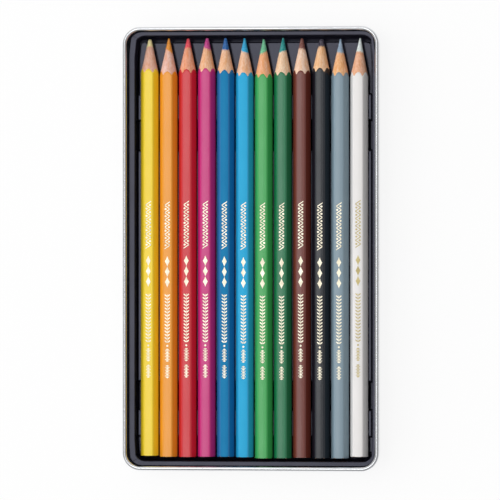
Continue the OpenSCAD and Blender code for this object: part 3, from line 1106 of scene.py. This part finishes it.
def section_across():
    """Heights across the tin: the side floor, the outermost ridge, twelve channels, and down again."""
    count = len(CUTS)
    middles = row_middle + PITCH * (np.arange(count) - (count - 1) / 2)
    edges = [-CHANNEL_TOP, -CHANNEL_FOOT, CHANNEL_FOOT, CHANNEL_TOP]
    channel_x = (middles[:, None] + edges).ravel()
    channel_z = np.tile([RIDGE_Z, DECK_Z, DECK_Z, RIDGE_Z], count)
    low, high = row_middle - bank_half, row_middle + bank_half
    before_x = [grid[0][0], low - BANK_LEAN, low]
    before_z = [SIDE_FLOOR_Z, SIDE_FLOOR_Z, RIDGE_Z]
    x = np.concatenate([before_x, channel_x, [high, high + BANK_LEAN, grid[1][0]]])
    z = np.concatenate([before_z, channel_z, before_z[::-1]])
    channel_radii = np.tile([ROUND, HOLLOW, HOLLOW, ROUND], count)
    radii = np.concatenate([[TIGHT, ROUND], channel_radii, [ROUND, TIGHT]])
    return rounded_path(np.stack([x, z], axis=1), radii)


def section_along():
    """Heights along the tin. Each wall leans by four degrees, so it is wider at its foot than at its
    top."""
    # The place of each wall's top edge, the height there and at its foot, and 1 where it climbs towards +Y
    walls = [
        (BUTT_Y + 1.6, DECK_Z, FLOOR_Z, 1),  # rear deck
        (BUTT_Y + 8.8, RIDGE_Z, DECK_Z, 1),  # rear cradle
        (BUTT_Y + 19.7, RIDGE_Z, FLOOR_Z, 0),  # rear trough
        (BUTT_Y + 31.8, RIDGE_Z, FLOOR_Z, 1),  # middle cradle
        (POINT_Y - 47.1, RIDGE_Z, FLOOR_Z, 0),  # front trough
        (POINT_Y - 34.2, RIDGE_Z, FLOOR_Z, 1),  # front cradle
        (front_y, RIDGE_Z, DECK_Z, 0),  # deck under the points
        (POINT_Y - 1.6, DECK_Z, FLOOR_Z, 0),  # its end
    ]
    y, top, foot, climbs = np.array(walls).T
    out = (top - foot) * CRADLE_LEAN * np.where(climbs, -1, 1)
    corners = np.stack([y + out, foot, y, top], axis=1).reshape(-1, 2, 2)
    radii = np.tile([HOLLOW, ROUND], (len(walls), 1))
    falls = climbs == 0
    corners[falls] = corners[falls, ::-1]
    radii[falls] = radii[falls, ::-1]
    radii[0, 0] = radii[-1, -1] = END_ROUND
    ends = np.array([[grid[0][1], FLOOR_Z], [grid[1][1], FLOOR_Z]])
    corners = np.concatenate([ends[:1], corners.reshape(-1, 2), ends[1:]])
    return rounded_path(corners, radii.ravel())


# %% Warped grid
def rounded_stations(x, y):
    """Splits points of the bank's rectangle into a core point and a step from it. Within a corner's square
    the step, whose longer part says how far out the point is, is turned so that squares round the corner
    become arcs."""
    core = np.clip(np.stack([x, y], axis=-1), grid[0] + INSIDE_CORNER, grid[1] - INSIDE_CORNER)
    off = np.stack([x, y], axis=-1) - core
    far = np.abs(off).max(axis=-1)
    near = np.abs(off).min(axis=-1)
    turn = math.pi / 4 * near / np.maximum(far, 1e-9)
    turn = np.where(np.abs(off[..., 0]) >= np.abs(off[..., 1]), turn, math.pi / 2 - turn)
    step = direction(turn) * np.where(off < 0, -1, 1)
    return core, far, step


def bank_skin(across, along, in_front, inset):
    """One skin of the bank: the lower of the two sections at each point of the grid, with its corners
    rounded. Beside the deck, in the rows in front of the cradles, it falls to the side floor. Returns the
    points and the stations of the grid's edge, in order round it."""
    x, y = np.meshgrid(across[:, 0], along[:, 0])
    z = np.minimum(*np.meshgrid(across[:, 1], along[:, 1]))
    beside = (x < deck_low + inset) | (x > deck_high - inset)
    z = np.where(beside & in_front[:, None], np.minimum(z, across[0, 1]), z)
    core, far, step = rounded_stations(x, y)
    plan = core + far[..., None] * step
    place = np.arange(z.size).reshape(z.shape)
    loop = np.concatenate([place[0], place[1:, -1], place[-1, -2::-1], place[-2:0:-1, 0]])
    share = (core - grid[0] - INSIDE_CORNER) / (grid[1] - grid[0] - 2 * INSIDE_CORNER)
    points = np.concatenate([plan, z[..., None]], axis=-1).reshape(-1, 3)
    return points, loop, share.reshape(-1, 2)[loop], step.reshape(-1, 2)[loop]


# %% Rings round the bank
FOOT_ANGLES = np.radians([18, 36, 54, 70, 86])
LIP_ANGLES = np.radians([4, 30, 60, 90])
FOOT_WIDENS = 0.7
LIP_CORNER = 4.2
OUTER_CORNER = 5.5
# The cut outer edge: how far in from the tray's outline and below the ledge
CUT_EDGE = ((0.2, 0.0), (0.12, 0.0), (0.03, 0.04), (0.0, 0.13), (0.0, 0.27), (0.03, 0.36), (0.12, 0.4))


def ring_stack(share, step, foot):
    """Rings of points round rounded rectangles: up the hollow curve at the wall's foot, over the ledge's
    inner edge, across the ledge, round its cut outer edge, and back underneath, one sheet lower. A point is
    a share of the way along the rectangle's core, plus the corner's radius times the step. The curve at the
    foot is a quarter circle, small at the tray's sides and large at its ends."""
    fillet = (step**2 * FILLET).sum(axis=1)
    rings = []

    def add_ring(rectangle, out, radius, height):
        low, high = rectangle[0] - out, rectangle[1] + out
        plan = low + radius + share * (high - low - 2 * radius) + radius * step
        height = np.broadcast_to(height, len(plan))[:, None]
        rings.append(np.concatenate([plan, height], axis=1))

    def add_foot(angle, thick):
        out = (FILLET + thick) * math.sin(angle)
        radius = INSIDE_CORNER + (FOOT_WIDENS + thick) * math.sin(angle)
        add_ring(grid, out, radius, foot + fillet - (fillet + thick) * math.cos(angle))

    for angle in FOOT_ANGLES:
        add_foot(angle, 0.0)
    for angle in LIP_ANGLES:
        back = EDGE_ROUND * (1 - math.cos(angle))
        add_ring(lip, back, LIP_CORNER + back, LEDGE_Z - EDGE_ROUND * (1 - math.sin(angle)))
    flat = EDGE_ROUND + NEAR_ARC
    add_ring(lip, flat, LIP_CORNER + flat, LEDGE_Z)
    for inset, drop in CUT_EDGE:
        add_ring((tray_low[:2], tray_high[:2]), -inset, OUTER_CORNER - inset, LEDGE_Z - drop)
    add_ring(lip, SHEET, LIP_CORNER + SHEET, LEDGE_Z - SHEET)
    for angle in FOOT_ANGLES[::-1]:
        add_foot(angle, SHEET)
    return rings


# %% Formed sheet
JUST_PAST = 0.05


def tray_mesh(name):
    """Two skins of the bank, whose edges are joined by one stack of rings over the ledge."""
    across, across_left = section_across()
    along, along_left = section_along()
    in_front = along[:, 0] > front_y + JUST_PAST
    top, loop, share, step = bank_skin(across, along, in_front, 0.0)
    under = (across - SHEET * across_left, along - SHEET * along_left)
    bottom = bank_skin(*under, in_front, SHEET)[0]
    rings = ring_stack(share, step, top[loop, 2])
    rows, columns = len(along), len(across)
    around = len(loop)
    number = np.arange(around)
    after = np.roll(number, -1)
    first = 2 * len(top)
    last = first + (len(rings) - 1) * around
    low_loop = loop + len(top)
    faces = [
        grid_faces(rows, columns, wrap_columns=False)[:, ::-1],
        grid_faces(rows, columns, wrap_columns=False, first=len(top)),
        grid_faces(len(rings), around, first=first),
        np.stack([loop, first + number, first + after, loop[after]], axis=1),
        np.stack([last + number, low_loop, low_loop[after], last + after], axis=1),
    ]
    return new_mesh(name, np.concatenate([top, bottom, *rings]), faces)


# %% Tray finish
def sheet_material():
    """Satin plastic sheet: dark with a blue cast, so that it is near black in the trench's shade and grey
    where it mirrors the lamp. It has a fine leathery grain, duller clouds and a little dust."""
    material, tree, shader, place = new_material("tray_sheet")
    mottle = effect(tree, mottle_group, {"Vector": place, "Clouds per metre": 60.0})
    base = mix_colours(tree, mottle["Clouds"], linear(30, 29, 40), linear(24, 24, 34))
    base = lay_over(tree, base, linear(120, 118, 116), mottle["Specks"], share=0.12)
    rough = uneven(tree, mottle["Clouds"], low=0.15, high=0.22)
    grain = bump_node(tree, noise(tree, place, scale=3000.0), rise=0.01, strength=0.6)
    feed(shader, {"Base Color": base, "Roughness": rough, "Normal": grain})
    feed(shader, {"Specular IOR Level": 0.5, "Specular Tint": (0.78, 0.80, 1.0, 1.0)})
    return material


formed = tray_mesh("tray_formed_sheet")
new_piece(formed, "tray", "tray_sheet", sheet_material(), "insert_tray")
print("faces of the tray:", len(formed.polygons))

# %% [markdown]
# ## Floor and light
# The tin stands on a plain white table in a soft studio. A bright, narrow lamp up on the left gives the
# pale stripe on each top facet and the bright line along the rim. A wide, weak one low on the left lights
# the left facets. The surround does the rest. Its scattered light is brighter on the left. Gloss mirrors it
# as grey, so that the dark tray mirrors little, with a white wall past the points that the upper edges of
# the rim catch. The camera sees it as plain white, through the Light Path node, and the table keeps the
# tin's shadow.

# %% Floor
FLOOR_HALF = 4.0
GLOW_SHARE = 0.86
WHITE = (1.0, 1.0, 1.0, 1.0)


def floor_material():
    """White paper: diffuse, and most of what the camera sees of it glows by itself as white."""
    material, tree, shader, place = new_material("white_table")
    mottle = effect(tree, mottle_group, {"Vector": place, "Clouds per metre": 20.0})
    base = mix_colours(tree, mottle["Clouds"], (0.94, 0.94, 0.94, 1.0), (0.96, 0.96, 0.96, 1.0))
    feed(shader, {"Base Color": base, "Roughness": 0.9, "Specular IOR Level": 0.1})
    glow = add_node(tree, "Emission", {"Color": WHITE, "Strength": 1.0}).outputs[0]
    share = math_node(tree, "MULTIPLY", add_node(tree, "LightPath").outputs["Is Camera Ray"], GLOW_SHARE)
    mix = add_node(tree, "MixShader", {0: share, 1: shader.outputs[0], 2: glow}).outputs[0]
    feed(tree.nodes["Material Output"], {"Surface": mix})
    return material


table_mesh = bpy.data.meshes.new("white_table")
table_corners = np.array([[-1, -1, 0], [1, -1, 0], [1, 1, 0], [-1, 1, 0]]) * FLOOR_HALF
table_mesh.from_pydata(table_corners.tolist(), [], [(0, 1, 2, 3)])
table_mesh.materials.append(floor_material())
new_object("white_table", table_mesh)


# %% Surround
def make_surround(lighting, leftwards, dim):
    """Light from all round. For scattered light its strength falls evenly from left to right. In gloss it
    is a dim grey overhead. It brightens to white towards the wall past the points, by the square of the
    direction's +Y part, and falls by a quarter towards the near and the right walls. The camera sees it
    white everywhere."""
    world = bpy.data.worlds.new("white_surround")
    bpy.context.scene.world = world
    world.use_nodes = True
    tree = world.node_tree
    way = add_node(tree, "SeparateXYZ", {0: add_node(tree, "TexCoord").outputs["Generated"]}).outputs
    scattered = math_node(tree, "MULTIPLY_ADD", way["X"], -leftwards, lighting)
    ahead = math_node(tree, "POWER", math_node(tree, "MAXIMUM", way["Y"], 0.0), 2.0)
    near = math_node(tree, "MINIMUM", way["Y"], 0.0)
    right = math_node(tree, "MAXIMUM", way["X"], 0.0)
    darker = math_node(tree, "MULTIPLY", math_node(tree, "SUBTRACT", near, right), 0.25 * dim)
    mirrored = math_node(tree, "MULTIPLY_ADD", ahead, 1.0 - dim, math_node(tree, "ADD", darker, dim))
    path = add_node(tree, "LightPath").outputs
    glossy = math_node(tree, "MAXIMUM", path["Is Glossy Ray"], path["Is Transmission Ray"])
    strength = mix_numbers(tree, glossy, scattered, mirrored)
    strength = mix_numbers(tree, path["Is Camera Ray"], strength, 1.0)
    feed(tree.nodes["Background"], {"Color": WHITE, "Strength": strength})


make_surround(lighting=0.80, leftwards=0.57, dim=0.42)


# %% Lamp
LAMP_FAR = 1.4


def soft_lamp(name, turn, tip, sizes, radiance):
    """A rectangular area lamp that faces the tin. Turn is its angle from upright towards -X and tip towards
    +Y, in degrees; sizes are how many degrees it spans both ways. A lamp's power is its brightness, where
    one is white, times pi times its area."""
    turn, tip = math.radians(turn), math.radians(tip)
    way = np.array([-math.sin(turn), math.tan(tip), math.cos(turn)])
    way /= np.linalg.norm(way)
    data = bpy.data.lights.new(name, "AREA")
    data.shape = "RECTANGLE"
    wide, deep = (2 * LAMP_FAR * math.tan(math.radians(span / 2)) for span in sizes)
    data.size, data.size_y = wide, deep
    data.energy = radiance * math.pi * wide * deep
    along = np.array([0.0, 1.0, 0.0]) - way[1] * way
    along /= np.linalg.norm(along)
    lamp = new_object(name, data)
    stand(lamp, way * LAMP_FAR, [np.cross(along, way), along, way])
    lamp.visible_camera = False
    return lamp


soft_lamp("stripe_lamp", turn=11, tip=3, sizes=(16, 26), radiance=2.4)
side_lamp = soft_lamp("side_lamp", turn=62, tip=5, sizes=(50, 50), radiance=1.0)
side_lamp.visible_glossy = False
bpy.context.scene.view_settings.view_transform = "Standard"
